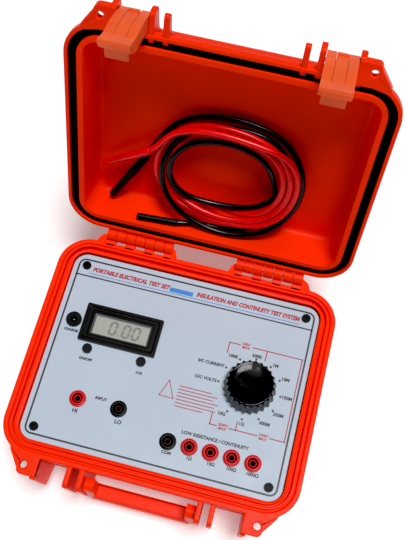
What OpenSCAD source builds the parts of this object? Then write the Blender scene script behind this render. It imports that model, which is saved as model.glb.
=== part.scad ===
// Portable insulation resistance tester in a hard case with a hinged lid.
// Origin: centre of the underside. +X right, +Y towards the hinge, +Z up. Millimetres.
// The lid is drawn open. Lid parts are modelled shut, with Z measured from the rim, then swung open.

/* [Case] */
// Inside width of the case
case_w = 235; // [225:1:245]
// Inside depth of the case, front to hinge
case_d = 181; // [175:1:190]
// Height of the base, underside to rim
base_h = 86; // [80:1:95]
// Height of the lid, rim to top
lid_h = 38; // [37:1:44]
// Width of the rim flange around the inside of the case
rim_w = 14.5; // [14:0.5:16]
// Thickness of the rim flange
rim_t = 8; // [7:0.5:9]
// Wall thickness of the moulded shells
wall = 3.5; // [3:0.25:4]
// Angle of the open lid from shut
lid_open = 110; // [95:1:112]

/* [Front panel] */
// Depth of the panel's face below the rim
panel_drop = 5.3; // [5:0.1:6]
// Panel thickness
panel_t = 3; // [2:0.5:3]
// Distance of the panel screws from the panel's middle, along X
screw_x = 105; // [100:0.5:106]
// Distance of the panel screws from the panel's middle, along Y
screw_y = 78.7; // [74:0.1:79]

/* [Controls] */
// Range knob: middle along X
knob_x = 69.5; // [66:0.5:72]
// Range knob: middle along Y
knob_y = 1.2; // [-2:0.1:4]
// Range knob: widest radius, at the skirt
knob_r = 24; // [22:0.5:25]
// Range knob: height of its top above the panel
knob_h = 20.5; // [19:0.5:21]
// Meter: middle along X
meter_x = -56; // [-58:0.5:-54]
// Meter: middle along Y
meter_y = 25; // [23:0.5:27]
// Meter bezel width
meter_w = 72; // [70:1:74]
// Meter bezel height
meter_d = 36; // [34:1:38]
// Push button cap radius
button_r = 4.4; // [3.5:0.1:5]
// Push button travel
button_travel = 1.5; // [1:0.1:2]
// Bore radius of the 4 mm test sockets
socket_bore_r = 2; // [1.9:0.05:2.1]

/* [Latches and handle] */
// Latch middle along X
latch_x = 77.7; // [77:0.1:78.2]
// Latch width
latch_w = 23.8; // [22:0.1:24]
// Angle of a free latch out from its shut place
latch_tilt = 4; // [3:0.5:5]
// Height of the handle's pivot below the rim
handle_drop = 20; // [18:1:22]

/* [Test leads] */
// Diameter of the test leads
lead_d = 5.4; // [5:0.1:5.5]

/* [Hidden] */
$fn = 64;
eps = 0.01;

case_red = [0.9, 0.16, 0.06];
latch_orange = [0.95, 0.4, 0.2];
panel_grey = [0.7, 0.77, 0.83];
soot = [0.06, 0.06, 0.07];
lead_red = [0.8, 0.05, 0.05];
metal = [0.75, 0.75, 0.76];

// Plan sizes of the case
out_w = case_w + 2 * rim_w;
out_d = case_d + 2 * rim_w;
rim_r = 30;
in_r = 13;
body_w = case_w + 2 * wall;
body_d = case_d + 2 * wall;
body_r = in_r + wall;
draft = 3;
ledge = 3;
shut_gap = 0.2;
front_y = -out_d / 2;
back_y = out_d / 2;

// Seal ring: its groove in the lid and the tongue on the base that meets it
groove_out = 3.2;
groove_w = 7.2;
groove_depth = 5;
seal_t = 2.6;
tongue_out = 6.5;
tongue_w = 2.5;
tongue_h = 2;

// Hinge
hinge_y = back_y + 8;
hinge_z = 1.5;
barrel_r = 6.2;
hinge_pin_r = 2;
run_fit = 0.05;
base_knuckles = [[30.5, 38.2], [47.5, 56.8], [66.1, 75.4], [84.7, 94]];
lid_knuckles = [[38.2, 47.5], [56.8, 66.1], [75.4, 84.7]];
knuckle_gap = 0.3;
hinge_window = 4.6;

// Front ribs, corner eyes and latches, in the lid's shut frame
rib_t = 4.6;
inner_rib_x = 52;
latch_rib_x = latch_x - latch_w / 2 - 0.3 - rib_t / 2;
eye_rib_x = latch_x + latch_w / 2 + 0.3 + rib_t / 2;
eye_x = 102.5;
eye_y = front_y - 7.5;
eye_r = 3.2;
eye_t = 7;
latch_pin_y = front_y - 6;
latch_pin_z = 8.5;
lever_pin_y = front_y - 10.5;
lever_pin_z = 1;
latch_pin_r = 1.5;
strip_w = 9;
latch_front = front_y - 14;
latch_back = front_y - 1.8;
catch_z = -34;

// Handle
handle_w = 98.4;
handle_arm = 8;
handle_y = front_y - 8;
handle_len = 46;
handle_pin_r = 2;

// Panel height and the controls on it, in the base's frame
panel_z = base_h - panel_drop;
under_z = panel_z - panel_t;
jack_at = [-100.8, 24.5];
power_at = [-80.5, 0.5];
divide_at = [-30.2, 0.5];
hi_at = [-75.3, -45.6];
lo_at = [-37.7, -45.6];
com_at = [11.7, -62.4];
ohm_at = [for (k = [0:3]) [30.8 + 18.9 * k, -62.4]];
socket_at = concat([hi_at, lo_at, com_at], ohm_at);
board_w = 110;
board_d = 60;
board_at = [42, 47];
board_gap = 22;
bracket_at = [-96, -82];
cell_r = 7.2;
cell_len = 50.4;
valve_z = base_h - 30;
shaft_r = 3;
flutes = 24;
pointer_w = 4.4;

// Coil of test leads, in the lid's shut frame: an oval lying back against the lid
coil_at = [6.5, 30.5];
coil_long = 10.5;
coil_out = 58.3;
coil_band = 23.2;
red_inset = 3.5;
coil_lean = 7.5;
coil_back_z = lid_h - wall - 1;
layer_gap = 0.1;

// Lead routes outside the coil and the plug tips, chosen points in the lid's shut frame
black_plug_route = [
    [-57, 11, 27], [-60.5, 16.5, 27.8], [-63.5, 22, 28], [-66, 27.5, 27.5], [-68, 32.5, 26.8]
];
black_plug_tip = [-97, 82.5, 23];
black_sleeve_route = [
    [-4, 85.6, 15.6], [-11, 85.6, 14.6], [-18, 85.5, 12.6], [-25, 85.4, 10.2], [-31, 85.4, 8.6]
];
black_sleeve_tip = [-68, 85.4, 5.6];
red_plug_route = [[-52, 9, 19.9], [-56, 12.4, 19.3], [-60, 15.7, 18.9], [-64, 18.7, 19.1]];
red_plug_tip = [-105.5, 47.5, 23.5];
red_tucked_route = [
    [50.5, 54.5, 13.6], [44, 57, 13.2], [37, 58, 13.5], [30.5, 57.6, 15.2], [24, 57, 18.8],
    [17.5, 57.5, 23], [11, 60, 26.6], [4.5, 63.5, 28.2], [-2, 67.3, 28.6], [-8, 70.3, 28.6]
];
red_tucked_tip = [-38, 77.7, 28.4];

// ---------- shared shapes ----------

// Rectangle with round corners
module round_rect(w, d, r) {
    square([w - 2 * r, d], center = true);
    square([w, d - 2 * r], center = true);
    for (x = [-1, 1], y = [-1, 1])
        translate([x * (w / 2 - r), y * (d / 2 - r)]) circle(r);
}

// Thin plate at height z, as one section of a drafted block
module section_at(w, d, r, z) {
    translate([0, 0, z]) linear_extrude(eps) round_rect(w, d, r);
}

// Ring that follows the rim, from inset a to inset b, between two heights
module rim_ring(a, b, z0, z1) {
    translate([0, 0, z0]) linear_extrude(z1 - z0) difference() {
        round_rect(out_w - 2 * a, out_d - 2 * a, rim_r - a);
        round_rect(out_w - 2 * b, out_d - 2 * b, rim_r - b);
    }
}

// Outline given in Y and Z, extruded along X from x0 to x1
module along_x(x0, x1) {
    translate([x0, 0, 0]) rotate([90, 0, 90]) linear_extrude(x1 - x0) children();
}

module rod_x(x0, x1, y, z, r) {
    translate([x0, y, z]) rotate([0, 90, 0]) cylinder(r = r, h = x1 - x0);
}

module both_sides() {
    children();
    mirror([1, 0, 0]) children();
}

// From the lid's shut frame to its open place
module on_open_lid() {
    translate([0, hinge_y, base_h + hinge_z]) rotate([-lid_open, 0, 0])
        translate([0, -hinge_y, -hinge_z]) children();
}

// A latch hangs a few degrees out from its shut place
module on_free_latch() {
    on_open_lid() translate([0, latch_pin_y, latch_pin_z]) rotate([-latch_tilt, 0, 0])
        translate([0, -latch_pin_y, -latch_pin_z]) children();
}

// ---------- moulded case features shared by base and lid ----------

// Corner plate with a padlock eye, top face at z = 0
module eye_plate() {
    translate([0, 0, -eye_t]) linear_extrude(eye_t) difference() {
        union() {
            polygon([
                [eye_rib_x - rib_t / 2, front_y + 12], [eye_rib_x - rib_t / 2, front_y - 16],
                [eye_x + 1, front_y - 16], [eye_x + 4.5, front_y - 14],
                [out_w / 2 - 15, front_y + 3], [out_w / 2 - 14, front_y + 12]
            ]);
            translate([eye_x + 0.5, front_y - 11.5]) circle(4.5);
        }
        translate([eye_x, eye_y]) circle(eye_r);
    }
}

// Hinge knuckle with its arm to the flange, side = 1 on the lid, -1 on the base
module knuckle(span, side) {
    along_x(span[0] + knuckle_gap / 2, span[1] - knuckle_gap / 2) difference() {
        union() {
            translate([hinge_y, hinge_z]) circle(barrel_r);
            if (side < 0) arm_outline(-1);
        }
        translate([hinge_y, hinge_z]) circle(hinge_pin_r + (side > 0 ? run_fit : 0));
    }
    // the lid's arms leave a window beside them
    if (side > 0) along_x(span[0] + knuckle_gap / 2, span[1] - hinge_window) difference() {
        arm_outline(1);
        translate([hinge_y, hinge_z]) circle(hinge_pin_r + run_fit);
    }
}

module arm_outline(side) {
    face = side > 0 ? shut_gap : 0;
    polygon([
        [back_y - 3, side * rim_t], [hinge_y - 2, side * (rim_t - 1.5)],
        [hinge_y, hinge_z], [back_y, face], [back_y - 3, face]
    ]);
}

// ---------- base ----------

module base_rib(x) {
    along_x(x - rib_t / 2, x + rib_t / 2) polygon([
        [-body_d / 2 + 3.5, base_h - 10], [front_y + 2, base_h - 3], [front_y + 2, base_h - 1],
        [front_y - 16.5, base_h - 1], [front_y - 18, base_h - 4],
        [front_y - 14.5, base_h - 58], [front_y - 10, base_h - 63],
        [-body_d / 2 + 3.5, base_h - 75]
    ]);
}

module base_blank() {
    hull() {
        section_at(body_w - 2 * draft - 7, body_d - 2 * draft - 7, body_r - 3, 0);
        section_at(body_w - 2 * draft - 1.6, body_d - 2 * draft - 1.6, body_r - 0.8, 1.6);
        section_at(body_w - 2 * draft, body_d - 2 * draft, body_r, 4);
        section_at(body_w, body_d, body_r, base_h - rim_t);
    }
    hull() {
        section_at(out_w - 8, out_d - 8, rim_r - 4, base_h - rim_t - 3);
        section_at(out_w, out_d, rim_r, base_h - rim_t + 1);
        section_at(out_w, out_d, rim_r, base_h - 1);
        section_at(out_w - 1.6, out_d - 1.6, rim_r - 0.8, base_h - eps);
    }
}

module base_shell() color(case_red) {
    difference() {
        union() {
            base_blank();
            rim_ring(tongue_out, tongue_out + tongue_w, base_h - 1, base_h + tongue_h);
            both_sides() {
                for (x = [inner_rib_x, latch_rib_x, eye_rib_x]) base_rib(x);
                translate([0, 0, base_h - 0.3]) eye_plate();
                // lip that the latch hooks under
                along_x(latch_rib_x, eye_rib_x) polygon([
                    [-body_d / 2 + 3.5, base_h + catch_z + 7], [front_y + 3, base_h + catch_z + 3.5],
                    [front_y + 2.2, base_h + catch_z + 3], [front_y + 2.2, base_h + catch_z],
                    [-body_d / 2 + 3.5, base_h + catch_z]
                ]);
                translate([0, 0, base_h]) for (k = base_knuckles) knuckle(k, -1);
                // wings that blend the hinge into the rim
                translate([0, 0, base_h - rim_t + 1]) linear_extrude(rim_t - 1) {
                    polygon([[93.5, back_y - 2], [104, back_y - 3], [99, back_y + 7], [93.5, back_y + 10]]);
                    polygon([[31, back_y - 2], [24, back_y - 2], [27, back_y + 6], [31, back_y + 10]]);
                }
            }
        }
        // space for the works, and the seat that the panel drops into
        translate([0, 0, wall]) linear_extrude(base_h) round_rect(
            case_w - 2 * ledge, case_d - 2 * ledge, in_r - ledge + 1);
        translate([0, 0, under_z]) linear_extrude(base_h) round_rect(case_w, case_d, in_r);
        rim_ring(tongue_out + tongue_w, tongue_out + tongue_w + 2, base_h - 1.5, base_h + 1);
        both_sides() {
            rod_x(inner_rib_x - rib_t, inner_rib_x + rib_t, handle_y, base_h - handle_drop,
                handle_pin_r + run_fit);
        }
        // seat of the pressure valve in the front wall, behind the handle
        translate([0, -body_d / 2 + 10, valve_z]) rotate([90, 0, 0]) cylinder(r = 6, h = 20);
    }
    // pillars under the panel screws
    difference() {
        for (x = [-1, 1], y = [-1, 1]) translate([x * screw_x, y * screw_y, wall - eps])
            cylinder(r = 5.5, h = under_z - wall + eps);
        for (x = [-1, 1], y = [-1, 1]) translate([x * screw_x, y * screw_y, under_z - 9])
            cylinder(r = 2.8, h = 10);
    }
}

module pressure_valve() color(soot) translate([0, -body_d / 2 + 6.5, valve_z]) rotate([90, 0, 0]) {
    cylinder(r = 6, h = 6.1);
    translate([0, 0, 6]) cylinder(r = 7.6, h = 2.2);
}

module hinge_pins() color(metal) both_sides()
    rod_x(31.5, 93, hinge_y, base_h + hinge_z, hinge_pin_r);

module carry_handle() color(case_red) difference() {
    union() {
        both_sides() along_x(handle_w / 2 - handle_arm, handle_w / 2) {
            translate([handle_y, base_h - handle_drop]) circle(6);
            polygon([
                [handle_y - 5, base_h - handle_drop], [handle_y + 5, base_h - handle_drop],
                [handle_y + 6.5, base_h - handle_drop - handle_len + 10],
                [handle_y + 4, base_h - handle_drop - handle_len],
                [handle_y - 4, base_h - handle_drop - handle_len],
                [handle_y - 6.5, base_h - handle_drop - handle_len + 10]
            ]);
        }
        along_x(-handle_w / 2 + 4, handle_w / 2 - 4) polygon([
            [handle_y - 4.5, base_h - handle_drop - handle_len + 16],
            [handle_y + 4.5, base_h - handle_drop - handle_len + 16],
            [handle_y + 7, base_h - handle_drop - handle_len + 12],
            [handle_y + 7, base_h - handle_drop - handle_len + 3],
            [handle_y + 4, base_h - handle_drop - handle_len],
            [handle_y - 4, base_h - handle_drop - handle_len],
            [handle_y - 7, base_h - handle_drop - handle_len + 3],
            [handle_y - 7, base_h - handle_drop - handle_len + 12]
        ]);
    }
    both_sides() rod_x(handle_w / 2 - 6, handle_w / 2 + 1, handle_y, base_h - handle_drop, handle_pin_r);
}

module handle_pins() color(metal) both_sides()
    rod_x(handle_w / 2 - 6, inner_rib_x + rib_t / 2 - 0.5, handle_y, base_h - handle_drop, handle_pin_r);

// ---------- lid, in its shut frame ----------

module lid_rib(x, height) {
    along_x(x - rib_t / 2, x + rib_t / 2) polygon([
        [-body_d / 2 + 3.5, lid_h - 8], [-body_d / 2 + 3.5, 4], [front_y + 2, 1],
        [front_y - 15, 1], [front_y - 18, 4],
        [front_y - 18, height - 3], [front_y - 15, height],
        [front_y + 1, height + 4]
    ]);
}

module lid_blank() {
    hull() {
        section_at(out_w - 1.6, out_d - 1.6, rim_r - 0.8, shut_gap);
        section_at(out_w, out_d, rim_r, 1);
        section_at(out_w, out_d, rim_r, rim_t - 1);
        section_at(out_w - 8, out_d - 8, rim_r - 4, rim_t + 3);
    }
    hull() {
        section_at(body_w, body_d, body_r, rim_t);
        section_at(body_w - 4, body_d - 4, body_r, lid_h - 6);
        section_at(body_w - 8, body_d - 8, body_r - 1, lid_h - 1.8);
        section_at(body_w - 14, body_d - 14, body_r - 3, lid_h - eps);
    }
}

module lid_hollow() {
    hull() {
        section_at(case_w - 2, case_d - 2, in_r, -1);
        section_at(case_w - 6, case_d - 6, in_r - 1, lid_h - wall - 7);
        section_at(case_w - 9, case_d - 9, in_r - 2, lid_h - wall - 2.5);
        section_at(case_w - 16, case_d - 16, in_r - 4, lid_h - wall - eps);
    }
}

module lid_shell() color(case_red) on_open_lid() difference() {
    union() {
        lid_blank();
        both_sides() {
            lid_rib(inner_rib_x, 8);
            lid_rib(latch_rib_x, 14);
            lid_rib(eye_rib_x, 14);
            mirror([0, 0, 1]) translate([0, 0, -0.3]) eye_plate();
            for (k = lid_knuckles) knuckle(k, 1);
        }
    }
    lid_hollow();
    rim_ring(groove_out, groove_out + groove_w, -1, groove_depth);
    both_sides() rod_x(latch_rib_x - rib_t, eye_rib_x + rib_t / 2 - 1, latch_pin_y, latch_pin_z, latch_pin_r);
}

module lid_seal() color(soot) on_open_lid()
    rim_ring(groove_out, groove_out + groove_w, groove_depth - seal_t, groove_depth);

// ---------- latches, in the lid's shut frame, right-hand one ----------

module yoke_outline() {
    polygon([
        [latch_back, latch_pin_z], [latch_back, catch_z + 1.5], [latch_front + 1.2, catch_z + 1.5],
        [latch_front - 0.8, catch_z + 16], [latch_front - 0.6, -4],
        [latch_front + 1.2, latch_pin_z + 2], [latch_front + 3, latch_pin_z + 3.8],
        [latch_pin_y, latch_pin_z + 4.2]
    ]);
    translate([latch_pin_y, latch_pin_z]) circle(4.2);
}

module latch_yoke() color(latch_orange) difference() {
    union() {
        for (x = [latch_x - latch_w / 2, latch_x + strip_w / 2 + 0.25])
            along_x(x, x + latch_w / 2 - strip_w / 2 - 0.25) yoke_outline();
        // web behind the lever's strip
        along_x(latch_x - strip_w / 2 - 1, latch_x + strip_w / 2 + 1) polygon([
            [latch_back, catch_z + 1.5], [latch_back, -9], [latch_back - 2.5, -9],
            [latch_back - 2.5, catch_z + 1.5]
        ]);
    }
    rod_x(latch_x - latch_w, latch_x + latch_w, latch_pin_y, latch_pin_z, latch_pin_r + run_fit);
    rod_x(latch_x - latch_w / 2 + 2, latch_x + latch_w / 2 - 2, lever_pin_y, lever_pin_z, latch_pin_r);
}

module latch_lever() color(latch_orange) difference() {
    union() {
        // strip between the yoke's sides
        along_x(latch_x - strip_w / 2, latch_x + strip_w / 2) {
            polygon([
                [latch_front + 3.2, catch_z + 1], [latch_front + 0.8, catch_z + 1], [latch_front - 1, catch_z + 16],
                [latch_front - 0.8, -4], [latch_front + 0.4, 5.5], [latch_front + 1, 6.2], [latch_front + 3.2, 6.2]
            ]);
            translate([lever_pin_y, lever_pin_z]) circle(3.4);
        }
        // raised stop at its top
        along_x(latch_x - strip_w / 2, latch_x + strip_w / 2) polygon([
            [latch_front + 2, 3], [latch_front - 1.4, 3], [latch_front - 1, 6.6], [latch_front + 2, 6.8]
        ]);
        // pull across the full width
        along_x(latch_x - latch_w / 2, latch_x + latch_w / 2) polygon([
            [latch_back - 2, catch_z + 1], [latch_front + 0.8, catch_z + 1], [latch_front + 0.2, catch_z - 6],
            [latch_front - 0.8, catch_z - 13], [latch_front + 1.6, catch_z - 13.5],
            [latch_back - 5, catch_z - 9], [latch_back - 2, catch_z - 4]
        ]);
        // nose that hooks under the lip on the base
        along_x(latch_x - 9, latch_x + 9) polygon([
            [latch_back - 3, catch_z - 5], [latch_back - 3, catch_z - 0.5],
            [front_y + 4.2, catch_z - 0.5], [front_y + 4.2, catch_z - 2.2]
        ]);
    }
    rod_x(latch_x - latch_w, latch_x + latch_w, lever_pin_y, lever_pin_z, latch_pin_r + run_fit);
}

module latch_yoke_left() on_free_latch() mirror([1, 0, 0]) latch_yoke();
module latch_yoke_right() on_free_latch() latch_yoke();
module latch_lever_left() on_free_latch() mirror([1, 0, 0]) latch_lever();
module latch_lever_right() on_free_latch() latch_lever();

module latch_pin() color(metal)
    rod_x(latch_rib_x - 1, eye_rib_x + 1, latch_pin_y, latch_pin_z, latch_pin_r);
module latch_pins_left() on_open_lid() mirror([1, 0, 0]) latch_pin();
module latch_pins_right() on_open_lid() latch_pin();

module lever_pin() color(metal)
    rod_x(latch_x - latch_w / 2 + 2, latch_x + latch_w / 2 - 2, lever_pin_y, lever_pin_z, latch_pin_r);
module lever_pin_left() on_free_latch() mirror([1, 0, 0]) lever_pin();
module lever_pin_right() on_free_latch() lever_pin();

// ---------- front panel and what is on it ----------

module at_panel(p) {
    translate([p[0], p[1], panel_z]) children();
}

module front_panel() color(panel_grey) difference() {
    translate([0, 0, under_z]) linear_extrude(panel_t)
        round_rect(case_w - 0.6, case_d - 0.6, in_r - 0.3);
    for (x = [-1, 1], y = [-1, 1]) at_panel([x * screw_x, y * screw_y])
        translate([0, 0, -10]) cylinder(r = 2.1, h = 20);
    translate([meter_x, meter_y, panel_z]) cube([meter_w - 4, meter_d - 4, 20], center = true);
    at_panel(jack_at) translate([0, 0, -10]) cylinder(r = 4.1, h = 20);
    for (p = [power_at, divide_at]) at_panel(p) translate([0, 0, -10]) cylinder(r = 3.6, h = 20);
    for (p = socket_at) at_panel(p) translate([0, 0, -10]) cylinder(r = 6.1, h = 20);
    at_panel([knob_x, knob_y]) translate([0, 0, -10]) cylinder(r = 5.1, h = 20);
}

module panel_screws() color(soot) for (x = [-1, 1], y = [-1, 1])
    at_panel([x * screw_x, y * screw_y]) difference() {
        union() {
            cylinder(r = 4, h = 2.4);
            translate([0, 0, -10]) cylinder(r = 2, h = 10.01);
        }
        translate([0, 0, 1]) cylinder(r = 1.6, h = 3, $fn = 6);
    }

module screw_inserts() color("goldenrod") for (x = [-1, 1], y = [-1, 1])
    translate([x * screw_x, y * screw_y, under_z - 9]) difference() {
        cylinder(r = 2.8, h = 8.9);
        translate([0, 0, -1]) cylinder(r = 2.0, h = 12);
    }

// ---------- meter ----------

module meter_bezel() color(soot) translate([meter_x, meter_y, panel_z]) difference() {
    union() {
        linear_extrude(3.6) round_rect(meter_w, meter_d, 1.2);
        translate([0, 0, -12]) linear_extrude(12.01) round_rect(meter_w - 4.6, meter_d - 4.6, 1);
    }
    translate([0, 0, 0.6]) linear_extrude(10) round_rect(54, 20.5, 1);
    translate([0, 0, -20]) linear_extrude(19) round_rect(meter_w - 9, meter_d - 9, 0.8);
    translate([0, 0, -10]) linear_extrude(20) square([51, 17.5], center = true);
}

module meter_window() color("lightgrey", 0.4) translate([meter_x, meter_y, panel_z + 0.6])
    linear_extrude(1) round_rect(53.8, 20.3, 0.9);

module meter_display() color([0.66, 0.68, 0.64]) translate([meter_x, meter_y, panel_z - 3.2])
    linear_extrude(2.2) square([58, 24], center = true);

module meter_board() color("darkgreen") translate([meter_x, meter_y, panel_z - 4.8])
    linear_extrude(1.6) square([meter_w - 10, meter_d - 10], center = true);

// ---------- charging socket, push buttons and test sockets ----------

module charge_socket() color(soot) at_panel(jack_at) difference() {
    union() {
        cylinder(r = 7.2, h = 2.2);
        translate([0, 0, -11]) cylinder(r = 4, h = 11.01);
    }
    translate([0, 0, -9]) cylinder(r = 2.75, h = 20);
}

module charge_pin() color(metal) at_panel(jack_at) {
    translate([0, 0, -9]) cylinder(r = 1.05, h = 8.4);
    translate([0, 0, -0.6]) sphere(r = 1.05, $fn = 32);
}

module charge_nut() color(metal) at_panel(jack_at) translate([0, 0, -panel_t - 2]) difference() {
    cylinder(r = 6.5, h = 2, $fn = 6);
    translate([0, 0, -1]) cylinder(r = 4, h = 4);
}

module push_cap(p) color(soot) at_panel(p) {
    translate([0, 0, -6]) cylinder(r = 2, h = 7.81);
    translate([0, 0, 1.8]) cylinder(r = button_r, h = 2);
}

module push_switch(p) color(soot) at_panel(p) difference() {
    union() {
        translate([0, 0, -panel_t - 12]) cylinder(r = 5.5, h = 12);
        translate([0, 0, -panel_t - eps]) cylinder(r = 3.5, h = panel_t + 0.25 + eps);
    }
    translate([0, 0, -8]) cylinder(r = 2 + run_fit, h = 20);
}

module power_button() push_cap(power_at);
module divide_button() push_cap(divide_at);
module power_switch() push_switch(power_at);
module divide_switch() push_switch(divide_at);
module switch_nuts() color(metal) for (p = [power_at, divide_at]) at_panel(p)
    difference() {
        cylinder(r = 4.2, h = 0.25);
        translate([0, 0, -1]) cylinder(r = 3.5, h = 4);
    }

module safety_socket(p) at_panel(p) difference() {
    union() {
        cylinder(r = 7.5, h = 1.6);
        cylinder(r = 6.2, h = 3.2);
        translate([0, 0, -20]) cylinder(r = 6, h = 20.01);
    }
    // round slot that takes the shroud of a safety plug, and the seat of the contact
    translate([0, 0, -14]) difference() {
        cylinder(r = 4.6, h = 30);
        translate([0, 0, -1]) cylinder(r = 3.4, h = 16.2);
    }
    translate([0, 0, -24]) cylinder(r = 2.6, h = 50);
}

module hi_socket() color(lead_red) safety_socket(hi_at);
module lo_socket() color(soot) safety_socket(lo_at);
module com_socket() color(soot) safety_socket(com_at);
module ohm_sockets() color(lead_red) for (p = ohm_at) safety_socket(p);

module socket_contacts() color(metal) for (p = socket_at) at_panel(p) difference() {
    union() {
        translate([0, 0, -20]) cylinder(r = 2.6, h = 21);
        translate([0, 0, -26]) cylinder(r = 2, h = 6.01);
    }
    translate([0, 0, -17]) cylinder(r = socket_bore_r, h = 30);
}

module socket_nuts() color(soot) for (p = socket_at) at_panel(p)
    translate([0, 0, -panel_t - 3]) difference() {
        cylinder(r = 8.6, h = 3, $fn = 6);
        translate([0, 0, -1]) cylinder(r = 6, h = 5);
    }

// ---------- range switch ----------

module range_knob() color(soot) at_panel([knob_x, knob_y]) difference() {
    rotate_extrude() polygon([
        [shaft_r, 1.2], [knob_r - 1, 1.2], [knob_r, 2.2], [knob_r, 4], [knob_r - 1.6, 6],
        [knob_r - 2.6, knob_h - 3], [knob_r - 4.2, knob_h], [0, knob_h], [0, knob_h - 5],
        [shaft_r, knob_h - 5]
    ]);
    // grip hollows around the side
    for (k = [1:flutes]) rotate(360 / flutes * (k + 0.5)) translate([knob_r + 1.2, 0, 4.5])
        cylinder(r = 4.2, h = knob_h);
    // recess below, around the hub
    translate([0, 0, -1]) difference() {
        cylinder(r = knob_r - 5, h = 9);
        cylinder(r = 6.5, h = 10);
    }
}

module knob_pointer() color(soot) at_panel([knob_x, knob_y]) translate([-pointer_w / 2, 13, knob_h])
    cube([pointer_w, 6.4, 0.3]);

module switch_shaft() color(metal) at_panel([knob_x, knob_y])
    translate([0, 0, -panel_t - 20]) cylinder(r = shaft_r, h = panel_t + 20 + knob_h - 5);

module switch_body() color([0.3, 0.25, 0.18]) at_panel([knob_x, knob_y]) difference() {
    union() {
        translate([0, 0, -panel_t - 22]) cylinder(r = 17, h = 22);
        translate([0, 0, -panel_t - 0.01]) cylinder(r = 5, h = panel_t + 1);
    }
    translate([0, 0, -panel_t - 20.5]) cylinder(r = shaft_r + run_fit, h = 60);
}

module switch_nut() color(metal) at_panel([knob_x, knob_y]) difference() {
    cylinder(r = 6.2, h = 0.9, $fn = 6);
    translate([0, 0, -1]) cylinder(r = 5, h = 4);
}

// ---------- works under the panel ----------

module main_board() color("darkgreen")
    translate([board_at[0], board_at[1], under_z - board_gap - 1.6]) linear_extrude(1.6) difference() {
        square([board_w, board_d], center = true);
        for (x = [-1, 1], y = [-1, 1]) translate([x * (board_w / 2 - 5), y * (board_d / 2 - 5)]) circle(1.6);
        translate([knob_x - board_at[0], knob_y - board_at[1]]) circle(18.5);
    }

module at_board_corners() {
    for (x = [-1, 1], y = [-1, 1])
        translate([board_at[0] + x * (board_w / 2 - 5), board_at[1] + y * (board_d / 2 - 5), 0]) children();
}

module board_spacers() color(metal) at_board_corners() translate([0, 0, under_z - board_gap]) difference() {
    cylinder(r = 3.2, h = board_gap, $fn = 6);
    translate([0, 0, -1]) cylinder(r = 1.5, h = 9);
}

module board_screws() color(metal) at_board_corners() {
    translate([0, 0, under_z - board_gap - 1.6 - 1.8]) cylinder(r = 2.8, h = 1.8);
    translate([0, 0, under_z - board_gap - 1.6 - eps]) cylinder(r = 1.5, h = 8);
}

module board_resistors() color([0.55, 0.4, 0.25]) for (k = [0:7])
    rod_x(board_at[0] - 42, board_at[0] - 12, board_at[1] - 21 + 6 * k, under_z - board_gap + 2.2, 2.1);

module battery_pack() color([0.15, 0.3, 0.55]) for (i = [0, 1], j = [0:2])
    rod_x(bracket_at[0] + 2.6 + 51 * i, bracket_at[0] + 2.6 + 51 * i + cell_len,
        bracket_at[1] + 10.2 + 14.8 * j, wall + 1.5 + cell_r, cell_r);

module battery_bracket() color(metal) translate([bracket_at[0], bracket_at[1], wall]) difference() {
    cube([108, 50, 12]);
    translate([2, 2, 1.5]) cube([104, 46, 20]);
}

// ---------- test leads, in the lid's shut frame ----------

function unit(v) = v / norm(v);

// Rings of a tube along a route, joined into one closed surface
module tube(route, r, sides = 8) {
    n = len(route);
    ahead = [for (i = [0:n - 1]) unit(route[min(i + 1, n - 1)] - route[max(i - 1, 0)])];
    points = [for (i = [0:n - 1], k = [0:sides - 1])
        let (side = unit(cross(ahead[i], [0.1, 0.2, 1])), up = cross(side, ahead[i]))
        route[i] + r * (cos(360 * k / sides) * side + sin(360 * k / sides) * up)];
    skin = [for (i = [0:n - 2], k = [0:sides - 1])
        let (a = i * sides + k, b = i * sides + (k + 1) % sides)
        [a, b, b + sides, a + sides]];
    ends = [[for (k = [sides - 1:-1:0]) k], [for (k = [0:sides - 1]) (n - 1) * sides + k]];
    polyhedron(points, concat(ends, skin), convexity = 4);
}

// Round bar from a to b whose radius goes from r0 to r1
module bar(a, b, r0, r1) {
    v = b - a;
    translate(a) rotate([0, acos(v[2] / norm(v)), atan2(v[1], v[0])]) cylinder(r1 = r0, r2 = r1, h = norm(v));
}

// Oval band, layer 0 against the lid
module coil_band_solid(inset, layer) {
    translate([coil_at[0], coil_at[1] - coil_out, coil_back_z]) rotate([-coil_lean, 0, 0])
        translate([0, coil_out, -(layer + 1) * (lead_d + layer_gap)]) linear_extrude(lead_d)
            difference() {
                oval(coil_out - inset);
                oval(coil_out - coil_band + inset);
            }
}

module oval(r) {
    for (x = [-coil_long, coil_long]) translate([x, 0]) circle(r);
    square([2 * coil_long, 2 * r], center = true);
}

module black_lead_coil() color(soot) on_open_lid() coil_band_solid(0, 0);
module red_lead_coil() color(lead_red) on_open_lid() coil_band_solid(red_inset, 1);
module black_lead_plug_end() color(soot) on_open_lid() tube(black_plug_route, lead_d / 2);
module black_lead_sleeve_end() color(soot) on_open_lid() tube(black_sleeve_route, lead_d / 2);
module red_lead_plug_end() color(lead_red) on_open_lid() tube(red_plug_route, lead_d / 2);
module red_lead_tucked_end() color(lead_red) on_open_lid() tube(red_tucked_route, lead_d / 2);
module black_plug() color(soot) on_open_lid() bar(black_plug_route[len(black_plug_route) - 1], black_plug_tip, 4.2, 4);
module black_sleeve() color(soot) on_open_lid() bar(black_sleeve_route[len(black_sleeve_route) - 1], black_sleeve_tip, 3.1, 3);
module red_plug() color(lead_red) on_open_lid() bar(red_plug_route[len(red_plug_route) - 1], red_plug_tip, 3.8, 2);
module red_tucked_plug() color(lead_red) on_open_lid() bar(red_tucked_route[len(red_tucked_route) - 1], red_tucked_tip, 3.4, 2.2);

// ---------- nodes ----------

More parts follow.
